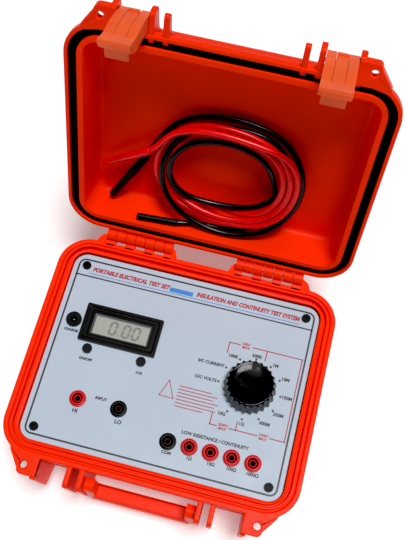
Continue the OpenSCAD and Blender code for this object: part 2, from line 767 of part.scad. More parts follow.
base_shell();
lid_shell();
lid_seal();
hinge_pins();
pressure_valve();
latch_yoke_left();
latch_yoke_right();
latch_lever_left();
latch_lever_right();
latch_pins_left();
latch_pins_right();
lever_pin_left();
lever_pin_right();
carry_handle();
handle_pins();
front_panel();
panel_screws();
screw_inserts();
meter_bezel();
meter_window();
meter_display();
meter_board();
charge_socket();
charge_pin();
charge_nut();
power_button();
power_switch();
divide_button();
divide_switch();
switch_nuts();
hi_socket();
lo_socket();
com_socket();
ohm_sockets();
socket_contacts();
socket_nuts();
range_knob();
knob_pointer();
switch_shaft();
switch_body();
switch_nut();
main_board();
board_spacers();
board_screws();
board_resistors();
battery_pack();
battery_bracket();
black_lead_coil();
black_lead_plug_end();
black_lead_sleeve_end();
black_plug();
black_sleeve();
red_lead_coil();
red_lead_plug_end();
red_lead_tucked_end();
red_plug();
red_tucked_plug();
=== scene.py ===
"""Looks of a portable insulation resistance tester in a hard case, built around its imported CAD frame.

Sizes are in millimetres until they reach a mesh or a curve. Lid parts are drawn in the lid's shut frame,
with Z from the rim.
"""

import math

import bmesh
import bpy
from mathutils import Matrix, Vector


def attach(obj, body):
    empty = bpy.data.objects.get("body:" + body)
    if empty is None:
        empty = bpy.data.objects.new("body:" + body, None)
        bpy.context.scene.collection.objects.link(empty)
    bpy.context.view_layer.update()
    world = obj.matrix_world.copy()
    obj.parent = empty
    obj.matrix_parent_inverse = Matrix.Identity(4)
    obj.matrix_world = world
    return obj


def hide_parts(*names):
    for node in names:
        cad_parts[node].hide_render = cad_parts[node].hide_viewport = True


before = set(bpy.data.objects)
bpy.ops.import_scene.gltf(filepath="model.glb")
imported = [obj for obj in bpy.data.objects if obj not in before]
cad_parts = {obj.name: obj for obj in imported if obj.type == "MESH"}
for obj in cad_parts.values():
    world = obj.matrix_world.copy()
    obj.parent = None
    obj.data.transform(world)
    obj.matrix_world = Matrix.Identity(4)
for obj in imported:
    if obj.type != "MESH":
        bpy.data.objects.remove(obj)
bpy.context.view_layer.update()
MM = 0.001

# Places shared with the CAD part
RIM_Z = 86.0
PANEL_Z = 80.7
HINGE_Y, HINGE_Z = 113.0, 1.5
LID_OPEN = -110.0
HALF_W = 132.0
FRONT_Y, BACK_Y = -105.0, 105.0
BODY_FRONT = -94.0
RIM_T = 8.0
RIB_T = 4.6
INNER_RIB, LATCH_RIB, EYE_RIB = 52.0, 63.2, 92.2
EYE = (102.5, -112.5)
EYE_R = 3.2
EYE_T = 7.0
KNOB = (69.5, 1.2)

SHUT = Matrix.Identity(4)
LID = (
    Matrix.Translation((0, HINGE_Y, RIM_Z + HINGE_Z))
    @ Matrix.Rotation(math.radians(LID_OPEN), 4, "X")
    @ Matrix.Translation((0, -HINGE_Y, -HINGE_Z))
)
BASE_RIM = Matrix.Translation((0, 0, RIM_Z))
PANEL = Matrix.Translation((0, 0, PANEL_Z))


# ---------- camera and lights ----------


def make_camera():
    data = bpy.data.cameras.new("camera")
    data.sensor_width = 36
    data.lens = 53.925
    data.shift_x, data.shift_y = 0.01868, 0.0522
    camera = bpy.data.objects.new("camera", data)
    camera.location = (0.064289, -0.187294, 0.781138)
    camera.rotation_euler = [math.radians(a) for a in (20.901, -0.186, 14.532)]
    bpy.context.scene.collection.objects.link(camera)
    bpy.context.scene.camera = camera


def make_sun(name, direction, strength, spread):
    data = bpy.data.lights.new(name, "SUN")
    data.energy = strength
    data.angle = math.radians(spread)
    lamp = bpy.data.objects.new(name, data)
    lamp.rotation_mode = "QUATERNION"
    lamp.rotation_quaternion = Vector(direction).to_track_quat("Z", "Y")
    bpy.context.scene.collection.objects.link(lamp)


# ---------- meshes ----------


def place(mesh, name, body, material, where=SHUT):
    """Puts a mesh drawn in millimetres at its place and lets it ride on a CAD body."""
    mesh.transform(Matrix.Scale(MM, 4) @ where)
    obj = bpy.data.objects.new(name, mesh)
    bpy.context.scene.collection.objects.link(obj)
    mesh.materials.append(material)
    for face in mesh.polygons:
        face.use_smooth = True
    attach(obj, body)
    return obj


def from_bmesh(bm, name):
    bmesh.ops.recalc_face_normals(bm, faces=bm.faces)
    mesh = bpy.data.meshes.new(name)
    bm.to_mesh(mesh)
    bm.free()
    return mesh


def soften(obj, width, segments=2, angle=32):
    """Rounds the sharp edges of a piece and evens out its shading."""
    bevel = obj.modifiers.new("round_edges", "BEVEL")
    bevel.width = width * MM
    bevel.segments = segments
    bevel.limit_method = "ANGLE"
    bevel.angle_limit = math.radians(angle)
    even_normals(obj)


def even_normals(obj):
    normal = obj.modifiers.new("even_normals", "WEIGHTED_NORMAL")
    normal.weight = 80


def ring(width, depth, radius, z, arc=12):
    """Points of a rectangle with round corners, at height z."""
    points = []
    for sx, sy, start in ((1, 1, 0), (-1, 1, 90), (-1, -1, 180), (1, -1, 270)):
        for k in range(arc + 1):
            a = math.radians(start + 90 * k / arc)
            points.append(
                (
                    sx * (width / 2 - radius) + radius * math.cos(a),
                    sy * (depth / 2 - radius) + radius * math.sin(a),
                    z,
                )
            )
    return points


def rounded(sections, steps=4):
    """Sections (width, depth, corner, z, fillet) with each corner of the profile turned into a curve."""
    out = []
    for i, section in enumerate(sections):
        here, fillet = Vector(section[:4]), section[4]
        if fillet == 0 or i in (0, len(sections) - 1):
            out.append(here)
            continue
        back, ahead = Vector(sections[i - 1][:4]) - here, Vector(sections[i + 1][:4]) - here
        # the profile runs in the plane of half width and height
        flat = [math.hypot(v[0] / 2, v[3]) for v in (back, ahead)]
        start = here + back * min(0.48, fillet / flat[0])
        end = here + ahead * min(0.48, fillet / flat[1])
        for k in range(steps + 1):
            t = k / steps
            out.append(start * (1 - t) ** 2 + here * 2 * t * (1 - t) + end * t * t)
    return out


def join_rings(bm, rings, looped=False):
    """Skin through rings of the same count: capped at both ends, or looped back to the first ring."""
    for low, high in zip(rings, rings[1:] + rings[:1] if looped else rings[1:]):
        for k in range(len(low)):
            j = (k + 1) % len(low)
            bm.faces.new((low[k], low[j], high[j], high[k]))
    if not looped:
        bm.faces.new(rings[0][::-1])
        bm.faces.new(rings[-1])


def sweep(name, sections):
    """Closed skin through a profile's sections."""
    bm = bmesh.new()
    join_rings(bm, [[bm.verts.new(p) for p in ring(*s)] for s in rounded(sections)])
    return from_bmesh(bm, name)


def extrude(bm, outline, levels, corner, hole, sides):
    """Outline between two levels, with an optional round hole. corner(u, v, level) gives a point's place."""
    ends = []
    for level in levels:
        verts = [bm.verts.new(corner(u, v, level)) for u, v in outline]
        edges = [bm.edges.new((verts[k - 1], verts[k])) for k in range(len(verts))]
        rim = []
        if hole:
            u, v, r = hole
            for k in range(sides):
                a = 2 * math.pi * k / sides
                rim.append(bm.verts.new(corner(u + r * math.cos(a), v + r * math.sin(a), level)))
            edges += [bm.edges.new((rim[k - 1], rim[k])) for k in range(sides)]
            bmesh.ops.triangle_fill(bm, edges=edges, use_beauty=True)
        else:
            bm.faces.new(verts)
        ends.append((verts, rim))
    for low, high in zip(*ends):
        for k in range(len(low)):
            bm.faces.new((low[k - 1], low[k], high[k], high[k - 1]))


def add_prism(bm, outline, x0, x1, hole=None, flip=False):
    """Outline in Y and Z extruded along X, with an optional hole (y, z, r). flip mirrors it to -X."""
    sign = -1 if flip else 1
    extrude(bm, outline, (x0, x1), lambda y, z, x: (sign * x, y, z), hole, 28)


def add_plate(bm, outline, z0, z1, hole=None, flip=False):
    """Outline in X and Y extruded along Z, with an optional hole (x, y, r). flip mirrors it to -X."""
    sign = -1 if flip else 1
    extrude(bm, outline, (z0, z1), lambda x, y, z: (sign * x, y, z), hole, 32)


def arc_points(cx, cy, r, start, stop, count):
    return [
        (
            cx + r * math.cos(math.radians(start + (stop - start) * k / count)),
            cy + r * math.sin(math.radians(start + (stop - start) * k / count)),
        )
        for k in range(count + 1)
    ]


def lathe_along(name, start, end, profile):
    """Turned piece from start to end: profile holds (share of the length, radius)."""
    sides = 28
    axis = end - start
    turn = axis.to_track_quat("Z", "Y").to_matrix().to_4x4()
    bm = bmesh.new()
    rings = [
        [
            bm.verts.new(
                (
                    r * math.cos(2 * math.pi * k / sides),
                    r * math.sin(2 * math.pi * k / sides),
                    t * axis.length,
                )
            )
            for k in range(sides)
        ]
        for t, r in profile
    ]
    join_rings(bm, rings)
    bm.transform(Matrix.Translation(start) @ turn)
    return from_bmesh(bm, name)


# ---------- materials ----------


class Nodes:
    """A material's node tree, with short calls to build it."""

    def __init__(self, name):
        self.material = bpy.data.materials.new(name)
        self.material.use_nodes = True
        self.tree = self.material.node_tree
        self.shader = self.tree.nodes["Principled BSDF"]
        self.coords = self.add("ShaderNodeTexCoord").outputs["Object"]

    def add(self, kind, **values):
        node = self.tree.nodes.new(kind)
        for key, value in values.items():
            setattr(node, key, value)
        return node

    def link(self, a, b):
        self.tree.links.new(a, b)

    def noise(self, scale, detail=3.0, rough=0.5, stretch=(1, 1, 1)):
        mapping = self.add("ShaderNodeMapping")
        mapping.inputs["Scale"].default_value = stretch
        self.link(self.coords, mapping.inputs["Vector"])
        node = self.add("ShaderNodeTexNoise")
        node.inputs["Scale"].default_value = scale
        node.inputs["Detail"].default_value = detail
        node.inputs["Roughness"].default_value = rough
        self.link(mapping.outputs["Vector"], node.inputs["Vector"])
        return node.outputs["Fac"]

    def cells(self, scale):
        node = self.add("ShaderNodeTexVoronoi")
        node.inputs["Scale"].default_value = scale
        self.link(self.coords, node.inputs["Vector"])
        return node.outputs["Distance"]

    def spread(self, source, low, high, start=0.3, stop=0.7):
        node = self.add("ShaderNodeMapRange")
        node.inputs["From Min"].default_value = start
        node.inputs["From Max"].default_value = stop
        node.inputs["To Min"].default_value = low
        node.inputs["To Max"].default_value = high
        self.link(source, node.inputs["Value"])
        return node.outputs["Result"]

    def blend(self, share, a, b):
        node = self.add("ShaderNodeMix", data_type="RGBA")
        self.link(share, node.inputs["Factor"])
        for value, socket in ((a, node.inputs["A"]), (b, node.inputs["B"])):
            if isinstance(value, tuple):
                socket.default_value = (*value, 1)
            else:
                self.link(value, socket)
        return node.outputs["Result"]

    def bump(self, height, strength, distance, normal=None):
        node = self.add("ShaderNodeBump")
        node.inputs["Strength"].default_value = strength
        node.inputs["Distance"].default_value = distance * MM
        self.link(height, node.inputs["Height"])
        if normal:
            self.link(normal, node.inputs["Normal"])
        return node.outputs["Normal"]


def shade(colour, factor):
    return tuple(min(1.0, c * factor) for c in colour)


def moulded(name, colour, rough, grain, mottle, scuff=0.0, specular=0.3):
    """Moulded plastic: fine spark-eroded grain, slow colour drift, uneven gloss and light scuffs."""
    m = Nodes(name)
    drift = m.spread(m.noise(28, 4, 0.6), 0, 1)
    tone = m.blend(drift, shade(colour, 1 - mottle), shade(colour, 1 + mottle))
    if scuff:
        marks = m.spread(m.noise(160, 6, 0.75, (1, 0.22, 1)), 0, scuff, 0.62, 0.78)
        pale = tuple(min(1.0, c * 0.8 + 0.12) for c in colour)
        tone = m.blend(marks, tone, pale)
    m.link(tone, m.shader.inputs["Base Color"])
    m.link(m.spread(m.noise(90, 5, 0.65), rough - 0.07, rough + 0.1), m.shader.inputs["Roughness"])
    fine = m.bump(m.noise(1400, 3, 0.6), grain, 0.12)
    slow = m.bump(m.noise(35, 2, 0.4), 0.10, 0.5, fine)
    m.link(slow, m.shader.inputs["Normal"])
    m.shader.inputs["Specular IOR Level"].default_value = specular
    return m.material


def metal(name, colour, rough):
    """Bare metal with light stains and uneven gloss."""
    m = Nodes(name)
    stain = m.spread(m.noise(130, 5, 0.7), 0, 1)
    m.link(m.blend(stain, shade(colour, 0.88), colour), m.shader.inputs["Base Color"])
    lines = m.noise(900, 3, 0.6)
    m.link(m.spread(lines, rough - 0.08, rough + 0.12), m.shader.inputs["Roughness"])
    m.link(m.bump(lines, 0.12, 0.05), m.shader.inputs["Normal"])
    m.shader.inputs["Metallic"].default_value = 1.0
    return m.material


def rubber(name, colour, rough, specular):
    """Lead insulation or seal: smooth, with faint ripples and dust."""
    m = Nodes(name)
    dust = m.spread(m.noise(60, 5, 0.6), 0, 1, 0.35, 0.75)
    m.link(m.blend(dust, colour, shade(colour, 0.86)), m.shader.inputs["Base Color"])
    m.link(m.spread(m.noise(50, 3, 0.5), rough - 0.04, rough + 0.06), m.shader.inputs["Roughness"])
    m.link(m.bump(m.noise(120, 2, 0.5), 0.05, 0.2), m.shader.inputs["Normal"])
    m.shader.inputs["Specular IOR Level"].default_value = specular
    return m.material


def printed(name, colour, rough=0.45):
    """Ink: flat colour, slightly worn."""
    m = Nodes(name)
    worn = m.spread(m.noise(1800, 4, 0.7), 0, 1, 0.35, 0.75)
    m.link(m.blend(worn, colour, shade(colour, 1.25)), m.shader.inputs["Base Color"])
    m.link(m.spread(m.noise(600, 3, 0.6), rough - 0.05, rough + 0.1), m.shader.inputs["Roughness"])
    m.link(m.bump(m.noise(2500, 2, 0.5), 0.08, 0.03), m.shader.inputs["Normal"])
    return m.material


def painted_panel():
    """Satin grey paint over aluminium, with a fine orange peel."""
    m = Nodes("panel_paint")
    base = (0.475, 0.565, 0.665)
    drift = m.spread(m.noise(16, 4, 0.6), 0, 1)
    tone = m.blend(drift, shade(base, 0.97), shade(base, 1.03))
    speck = m.spread(m.noise(2600, 2, 0.6), 0, 0.35, 0.62, 0.75)
    m.link(m.blend(speck, tone, shade(base, 0.88)), m.shader.inputs["Base Color"])
    m.link(m.spread(m.noise(70, 5, 0.65), 0.4, 0.55), m.shader.inputs["Roughness"])
    peel = m.bump(m.noise(900, 3, 0.5), 0.10, 0.08)
    m.link(peel, m.shader.inputs["Normal"])
    m.shader.inputs["Specular IOR Level"].default_value = 0.3
    return m.material


def clear_window():
    """Thin clear plastic with a light haze."""
    m = Nodes("clear_window")
    haze = m.spread(m.noise(300, 4, 0.6), 0.08, 0.2)
    m.link(haze, m.shader.inputs["Roughness"])
    m.link(m.blend(haze, (0.85, 0.88, 0.84), (0.75, 0.78, 0.74)), m.shader.inputs["Base Color"])
    m.link(m.bump(m.noise(60, 2, 0.4), 0.05, 0.2), m.shader.inputs["Normal"])
    m.shader.inputs["Alpha"].default_value = 0.12
    return m.material


def circuit_board():
    """Green board with darker copper under the lacquer."""
    m = Nodes("board_green")
    tracks = m.spread(m.cells(260), 0, 1, 0.25, 0.32)
    tone = m.blend(tracks, (0.015, 0.13, 0.05), (0.01, 0.07, 0.03))
    m.link(tone, m.shader.inputs["Base Color"])
    m.link(m.spread(m.noise(200, 3), 0.25, 0.45), m.shader.inputs["Roughness"])
    m.link(m.bump(tracks, 0.25, 0.06), m.shader.inputs["Normal"])
    return m.material


def floor_paper():
    m = Nodes("floor_paper")
    tone = m.blend(m.spread(m.noise(3, 4, 0.6), 0, 1), (0.93, 0.93, 0.93), (0.96, 0.96, 0.96))
    m.link(tone, m.shader.inputs["Base Color"])
    m.link(m.bump(m.noise(400, 3), 0.05, 0.1), m.shader.inputs["Normal"])
    m.shader.inputs["Roughness"].default_value = 0.9
    m.shader.inputs["Emission Color"].default_value = (1, 1, 1, 1)
    m.shader.inputs["Emission Strength"].default_value = 0.2
    return m.material


CASE_RED = (0.97, 0.034, 0.006)
LATCH_ORANGE = (0.97, 0.12, 0.03)
LEAD_RED = (0.86, 0.004, 0.004)

case_plastic = moulded("case_plastic", CASE_RED, 0.34, 0.08, 0.05, 0.06, specular=0.07)
latch_plastic = moulded("latch_plastic", LATCH_ORANGE, 0.42, 0.2, 0.14, 0.35, specular=0.2)
black_plastic = moulded("black_plastic", (0.003, 0.003, 0.0034), 0.36, 0.08, 0.2, specular=0.16)
black_gloss = moulded("black_gloss", (0.002, 0.002, 0.0023), 0.13, 0.0, 0.1, specular=0.14)
red_plastic = moulded("red_plastic", (0.62, 0.008, 0.012), 0.38, 0.02, 0.08, specular=0.2)
seal_rubber = rubber("seal_rubber", (0.003, 0.003, 0.0033), 0.6, 0.1)
lead_black = rubber("lead_black", (0.002, 0.002, 0.0022), 0.26, 0.35)
lead_red = rubber("lead_red", LEAD_RED, 0.28, 0.4)
# socket contacts darkened to red-brown: painted shade of the deep socket holes, not the metal's own colour
contact_painted_shade = metal("contact_painted_shade", (0.07, 0.02, 0.02), 0.55)
steel = metal("bright_steel", (0.62, 0.62, 0.63), 0.28)
brass = metal("brass", (0.72, 0.5, 0.18), 0.3)
black_steel = moulded("black_steel", (0.003, 0.003, 0.0035), 0.42, 0.1, 0.3, specular=0.1)
panel_paint = painted_panel()
window_clear = clear_window()
display_grey = moulded("display_grey", (0.36, 0.39, 0.33), 0.3, 0.03, 0.04)
digit_grey = printed("digit_grey", (0.03, 0.034, 0.03), 0.4)
board_green = circuit_board()
phenolic = moulded("phenolic", (0.09, 0.055, 0.025), 0.35, 0.3, 0.25)
resistor_tan = moulded("resistor_tan", (0.45, 0.28, 0.14), 0.45, 0.2, 0.15)
cell_wrap = moulded("cell_wrap", (0.03, 0.09, 0.3), 0.25, 0.05, 0.12)
ink_black = printed("ink_black", (0.006, 0.007, 0.012))
ink_red = printed("ink_red", (0.36, 0.01, 0.028))
ink_blue = printed("ink_blue", (0.015, 0.2, 0.58))


# ---------- leads ----------

LEAD_D = 5.4
COIL_MIDDLE = (6.5, -27.8, 33.5)
COIL_HALF = 58.3
COIL_LONG = 10.5
COIL_LEAN = 7.5
# the coil's two main layers: BACK on the lid's floor side, FRONT on the panel's side when the lid is shut
BACK, FRONT = -2.8, -8.3


def coil_point(turn, radius, layer):
    """A point of the coil in the lid's shut frame: turn in degrees round the oval, and its layer height."""
    a = math.radians(turn)
    u = radius * math.cos(a) + COIL_LONG * max(-1.0, min(1.0, 1.8 * math.cos(a)))
    v = radius * math.sin(a) + COIL_HALF
    lean = math.radians(COIL_LEAN)
    x, y, z = COIL_MIDDLE
    return Vector(
        (
            x + u,
            y + math.cos(lean) * v + math.sin(lean) * layer,
            z - math.sin(lean) * v + math.cos(lean) * layer,
        )
    )


def ease(knots, t):
    """Smooth value between (t, value, ...) knots, by a Catmull-Rom curve."""
    n = len(knots)
    i = max(0, min(n - 2, sum(k[0] <= t for k in knots) - 1))
    p = [Vector(knots[max(0, min(n - 1, i + d))][1:]) for d in (-1, 0, 1, 2)]
    s = (t - knots[i][0]) / (knots[i + 1][0] - knots[i][0])
    return 0.5 * (
        2 * p[1]
        + (p[2] - p[0]) * s
        + (2 * p[0] - 5 * p[1] + 4 * p[2] - p[3]) * s * s
        + (3 * p[1] - p[0] - 3 * p[2] + p[3]) * s ** 3
    )


def wind(knots, step=7.5):
    """Points of a coil from knots of turn, radius and layer."""
    first, last = knots[0][0], knots[-1][0]
    count = round((last - first) / step)
    out = []
    for k in range(count + 1):
        t = first + (last - first) * k / count
        radius, layer = ease(knots, t)
        out.append(coil_point(t, radius, layer))
    return out


def even_out(points, gap=3.0, passes=6):
    """The same route with evenly spaced points, relaxed where it is rough."""
    for _ in range(2):
        knots, run = [(0.0, *points[0])], 0.0
        for a, b in zip(points, points[1:]):
            run += (b - a).length
            knots.append((run, *b))
        count = max(8, round(run / gap))
        points = [ease(knots, run * k / count) for k in range(count + 1)]
        for _ in range(passes):
            points = (
                [points[0]]
                + [
                    points[k] * 0.5 + (points[k - 1] + points[k + 1]) * 0.25
                    for k in range(1, len(points) - 1)
                ]
                + [points[-1]]
            )
    return points


def lead(name, route, material):
    """Test lead along a route in the lid's shut frame. It leaves the moulding at the route's last point."""
    points = [LID @ p for p in even_out(route)]
    curve = bpy.data.curves.new(name, "CURVE")
    curve.dimensions = "3D"
    curve.bevel_depth = LEAD_D / 2 * MM
    curve.bevel_resolution = 5
    curve.use_fill_caps = True
    spline = curve.splines.new("POLY")
    spline.points.add(len(points) - 1)
    for slot, p in zip(spline.points, points):
        slot.co = (*(p * MM), 1)
    spline.use_smooth = True
    curve.materials.append(material)
    obj = bpy.data.objects.new(name, curve)
    bpy.context.scene.collection.objects.link(obj)
    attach(obj, "lid")
    return obj


# loose ends of the leads, as in the CAD part. Where they run on beside the coil, the winding takes over.
BLACK_PLUG_ROUTE = [(-68, 32.5, 26.8), (-66, 27.5, 27.5), (-63.5, 22, 28), (-60.5, 16.5, 27.8)]
BLACK_PLUG_TIP = (-97, 82.5, 23)
BLACK_SLEEVE_ROUTE = [(-11, 85.6, 14.6), (-18, 85.5, 12.6), (-25, 85.4, 10.2), (-31, 85.4, 8.6)]
BLACK_SLEEVE_TIP = (-68, 85.4, 5.6)
RED_PLUG_ROUTE = [(-64, 18.7, 19.1), (-60, 15.7, 18.9), (-56, 12.4, 19.3)]
RED_PLUG_TIP = (-105.5, 47.5, 23.5)
RED_TUCKED_ROUTE = [(-2, 67.3, 28.6), (-8, 70.3, 28.6)]
RED_TUCKED_TIP = (-38, 77.7, 28.4)

# turn in degrees, radius and layer of each lead's winding
BLACK_WINDING = [
    (207, 56.2, -2.4), (230, 56, BACK), (270, 55.6, BACK), (320, 56, BACK), (360, 56.6, BACK),
    (390, 56.8, -4), (415, 57.4, -6.6), (435, 57.9, -8.8), (448, 57.4, -9.3), (460, 55.4, -9.4),
    (472, 53, -9.4), (490, 50.6, -9.2), (510, 49, -8.8), (540, 47.2, -8), (555, 45.6, -6.4),
    (570, 44.8, -4), (585, 44.6, BACK), (605, 44.6, BACK), (625, 46.4, BACK), (645, 48.6, BACK),
    (672, 48.8, BACK), (700, 45.4, BACK), (722, 40.6, BACK), (744, 36, BACK), (765, 33.4, -2.6),
    (785, 32.4, -2.4), (810, 32.2, -2.4), (830, 33.4, -3.6), (850, 36, -6.2), (870, 38.8, -8),
    (885, 40.4, FRONT),
    (900, 41, FRONT), (930, 37.8, FRONT), (960, 35.4, FRONT), (990, 34.8, FRONT), (1020, 33, FRONT),
    (1045, 31, -7.4), (1065, 30.6, -4.4), (1080, 32, -0.4), (1095, 35.4, 2.8), (1110, 40.6, 3.8),
    (1125, 47, 3.2), (1140, 53, 0.4), (1154, 56.8, -2.2), (1168, 57.4, -2.6),
]
RED_WINDING = [
    (207, 54.0, -8.6), (225, 51.6, -11.2), (245, 48, -13.2), (270, 44.6, -13.7), (288, 44.4, -13.6),
    (300, 46.2, -13.3), (311, 49.4, -12.2), (322, 52, -10.6), (340, 53, -9), (360, 52.4, FRONT),
    (400, 50.4, FRONT), (435, 47, FRONT),
    (450, 46.2, -7.6), (465, 46.4, -5.4), (480, 47.6, -3.4), (495, 50, BACK), (510, 52.4, BACK),
    (525, 53.8, BACK), (540, 53.6, BACK), (555, 51.8, -3.2), (570, 50.4, -3.6), (585, 50, -4.2),
    (600, 49.8, -6), (615, 49.4, -8), (635, 48, FRONT), (660, 46.8, FRONT), (690, 46.6, FRONT),
    (720, 46.3, FRONT), (765, 44, FRONT), (810, 41.8, -8), (828, 41.6, -6.4), (845, 42, -4.2),
    (862, 43, BACK), (885, 44, BACK), (900, 43, BACK), (915, 40.6, BACK), (930, 39.2, BACK),
    (945, 39, BACK), (960, 39.4, -3.5), (975, 40.4, -6), (990, 41.2, -8), (1020, 41, FRONT),
    (1060, 40.8, FRONT), (1082, 40, -8.4), (1105, 39.4, FRONT), (1125, 38.6, -7.2), (1142, 38, -5.2),
    (1153, 37.9, -3), (1166, 38.6, 1.2), (1177, 39.6, 5.2),
]


# turned profiles: share of the length and radius. Each starts a little way down its lead, just wider than it.
BLACK_PLUG_PROFILE = [
    (-0.06, 2.72), (-0.05, 3.2), (0.0, 3.5), (0.12, 3.9), (0.3, 4.3), (0.42, 4.25), (0.46, 3.75),
    (0.9, 3.7), (0.97, 3.5), (1.0, 2.9),
]
BLACK_SLEEVE_PROFILE = [
    (-0.03, 2.72), (0.0, 3.05), (0.04, 3.15), (0.5, 3.1), (0.96, 3.1), (0.99, 2.9), (1.0, 2.3),
    (0.97, 1.7),
]
RED_PLUG_PROFILE = [
    (-0.05, 2.72), (-0.03, 3.1), (0.04, 3.7), (0.35, 3.8), (0.42, 3.5), (0.9, 2.7), (0.97, 2.3),
    (1.0, 1.3),
]
RED_TUCKED_PROFILE = [
    (-0.04, 2.72), (-0.02, 3.1), (0.06, 3.4), (0.5, 3.2), (0.9, 2.3), (0.97, 1.9), (1.0, 1.2),
]


def lead_moulding(name, start, tip, profile, material, node):
    """Moulding on the end of a lead, in place of a CAD node."""
    piece = place(lathe_along(name, start, Vector(tip), profile), name, "lid", material, LID)
    even_normals(piece)
    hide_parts(node)
    return piece


def make_leads():
    black_start, black_end, red_start, red_end = (
        [Vector(point) for point in route]
        for route in (BLACK_PLUG_ROUTE, BLACK_SLEEVE_ROUTE, RED_PLUG_ROUTE, RED_TUCKED_ROUTE)
    )
    black_plug = lead_moulding(
        "black_plug_moulding", black_start[0], BLACK_PLUG_TIP, BLACK_PLUG_PROFILE, black_plastic,
        "black_plug",
    )
    black_sleeve = lead_moulding(
        "black_sleeve_moulding", black_end[-1], BLACK_SLEEVE_TIP, BLACK_SLEEVE_PROFILE, black_plastic,
        "black_sleeve",
    )
    red_plug = lead_moulding(
        "red_plug_moulding", red_start[0], RED_PLUG_TIP, RED_PLUG_PROFILE, lead_red, "red_plug",
    )
    red_tucked = lead_moulding(
        "red_tucked_moulding", red_end[-1], RED_TUCKED_TIP, RED_TUCKED_PROFILE, lead_red,
        "red_tucked_plug",
    )
    black = lead(
        "black_test_lead", black_start + wind(BLACK_WINDING) + black_end, lead_black,
    )
    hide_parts("black_lead_coil", "black_lead_plug_end", "black_lead_sleeve_end")
    red = lead("red_test_lead", red_start + wind(RED_WINDING) + red_end, lead_red)
    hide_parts("red_lead_coil", "red_lead_plug_end", "red_lead_tucked_end")


# ---------- case shells ----------

# width, depth, corner radius, height and the curve at that height, from the outside to the inside.
# The base's heights are from the underside, the lid's from the rim.
BASE_SECTIONS = [
    (229, 175, 13.5, 0, 0), (234.4, 180.4, 15.7, 1.6, 1.6), (236, 182, 16.5, 4, 2),
    (241.8, 187.8, 16.5, 75, 1.5), (256, 202, 26, 75.6, 1.2), (264, 210, 30, 79, 1.4),
    (264, 210, 30, 86, 1.2), (255.5, 201.5, 25.7, 86, 0.9), (253.8, 199.8, 24.9, 82.8, 0.5),
    (251, 197, 23.5, 82.8, 0.3), (251, 197, 23.5, 88, 0.8), (246.6, 192.6, 21.3, 88, 0.8),
    (246, 192, 21, 81.6, 0.4), (242.8, 188.8, 19.4, 81.6, 0.4), (242, 188, 19, 86, 1.0),
    (235.2, 181.2, 13, 85.4, 0.9), (236.6, 182.6, 13.6, 82.8, 0.4), (236.6, 182.6, 13.6, 77.7, 0.3),
    (229, 175, 11, 77.7, 0.3), (229, 175, 11, 3.5, 0),
]
LID_SECTIONS = [
    (228, 174, 13.5, 38, 0), (234, 180, 15.5, 36.8, 1.6), (238, 184, 16.5, 33.5, 3),
    (242, 188, 16.5, 11, 1.5), (256, 202, 26, 10.6, 1.2), (264, 210, 30, 7, 1.4),
    (264, 210, 30, 0.2, 0.9), (257.6, 203.6, 26.8, 0.2, 0.4), (257.6, 203.6, 26.8, 5, 0.3),
    (243.2, 189.2, 19.6, 5, 0.3), (243.2, 189.2, 19.6, 0.2, 0.5), (233, 179, 13, 0.2, 0.8),
    (229, 175, 12, 27.5, 2.5), (225, 171, 10.5, 33.3, 3), (218, 164, 9, 34.5, 0),
]


def base_rib_outline():
    """Side of a rib on the base's front wall, which tapers down from the rim."""
    return [
        (BODY_FRONT + 2, -10), (FRONT_Y + 2, -3), (FRONT_Y + 2, -1), (FRONT_Y - 14.5, -1),
        (FRONT_Y - 17, -2), (FRONT_Y - 18, -4), (FRONT_Y - 14.5, -58), (FRONT_Y - 13, -61),
        (FRONT_Y - 10, -63), (BODY_FRONT + 3.5, -75),
    ]


def lid_rib_outline(height):
    """Side of a rib on the lid's front wall, with rounded outer corners."""
    top = arc_points(FRONT_Y - 14.5, height - 3.5, 3.5, 180, 90, 4)
    low = arc_points(FRONT_Y - 14.5, 4.5, 3.5, 270, 180, 4)
    return [
        (BODY_FRONT + 2, 30), (BODY_FRONT + 2, 4), (FRONT_Y + 2, 1), *low, *top,
        (FRONT_Y + 1, height + 4),
    ]


def eye_outline():
    """Plate of a corner eye, seen from above."""
    rib = EYE_RIB - RIB_T / 2
    return [
        (rib, FRONT_Y + 4.5), (rib, FRONT_Y - 16), (EYE[0] - 1.5, FRONT_Y - 16),
        *arc_points(EYE[0] + 0.5, FRONT_Y - 11.5, 4.5, -80, 0, 6),
        (HALF_W - 14, FRONT_Y + 3), (HALF_W - 14, FRONT_Y + 7.5), (HALF_W - 28, FRONT_Y + 4.5),
    ]


BASE_KNUCKLES = [(30.5, 38.2), (47.5, 56.8), (66.1, 75.4), (84.7, 94)]
LID_KNUCKLES = [(38.2, 47.5), (56.8, 66.1), (75.4, 84.7)]
BARREL_R = 6.2
PIN_R = 2.05
KNUCKLE_GAP = 0.3
HINGE_WINDOW = 4.6


def barrel():
    """Round of a hinge knuckle, which its pin runs through."""
    return arc_points(HINGE_Y, HINGE_Z, BARREL_R, 0, 360 - 360 / 32, 31)


def arm_outline(side):
    """Arm that joins a knuckle to the rim. side is 1 for the lid and -1 for the base."""
    face = 0.2 if side > 0 else 0.0
    return [
        (BACK_Y - 3, side * RIM_T), (HINGE_Y - 2, side * (RIM_T - 1.5)),
        (HINGE_Y + 1.5, HINGE_Z + side * 5.6), (HINGE_Y - 1, HINGE_Z - side * 1.2),
        (BACK_Y, face), (BACK_Y - 3, face),
    ]


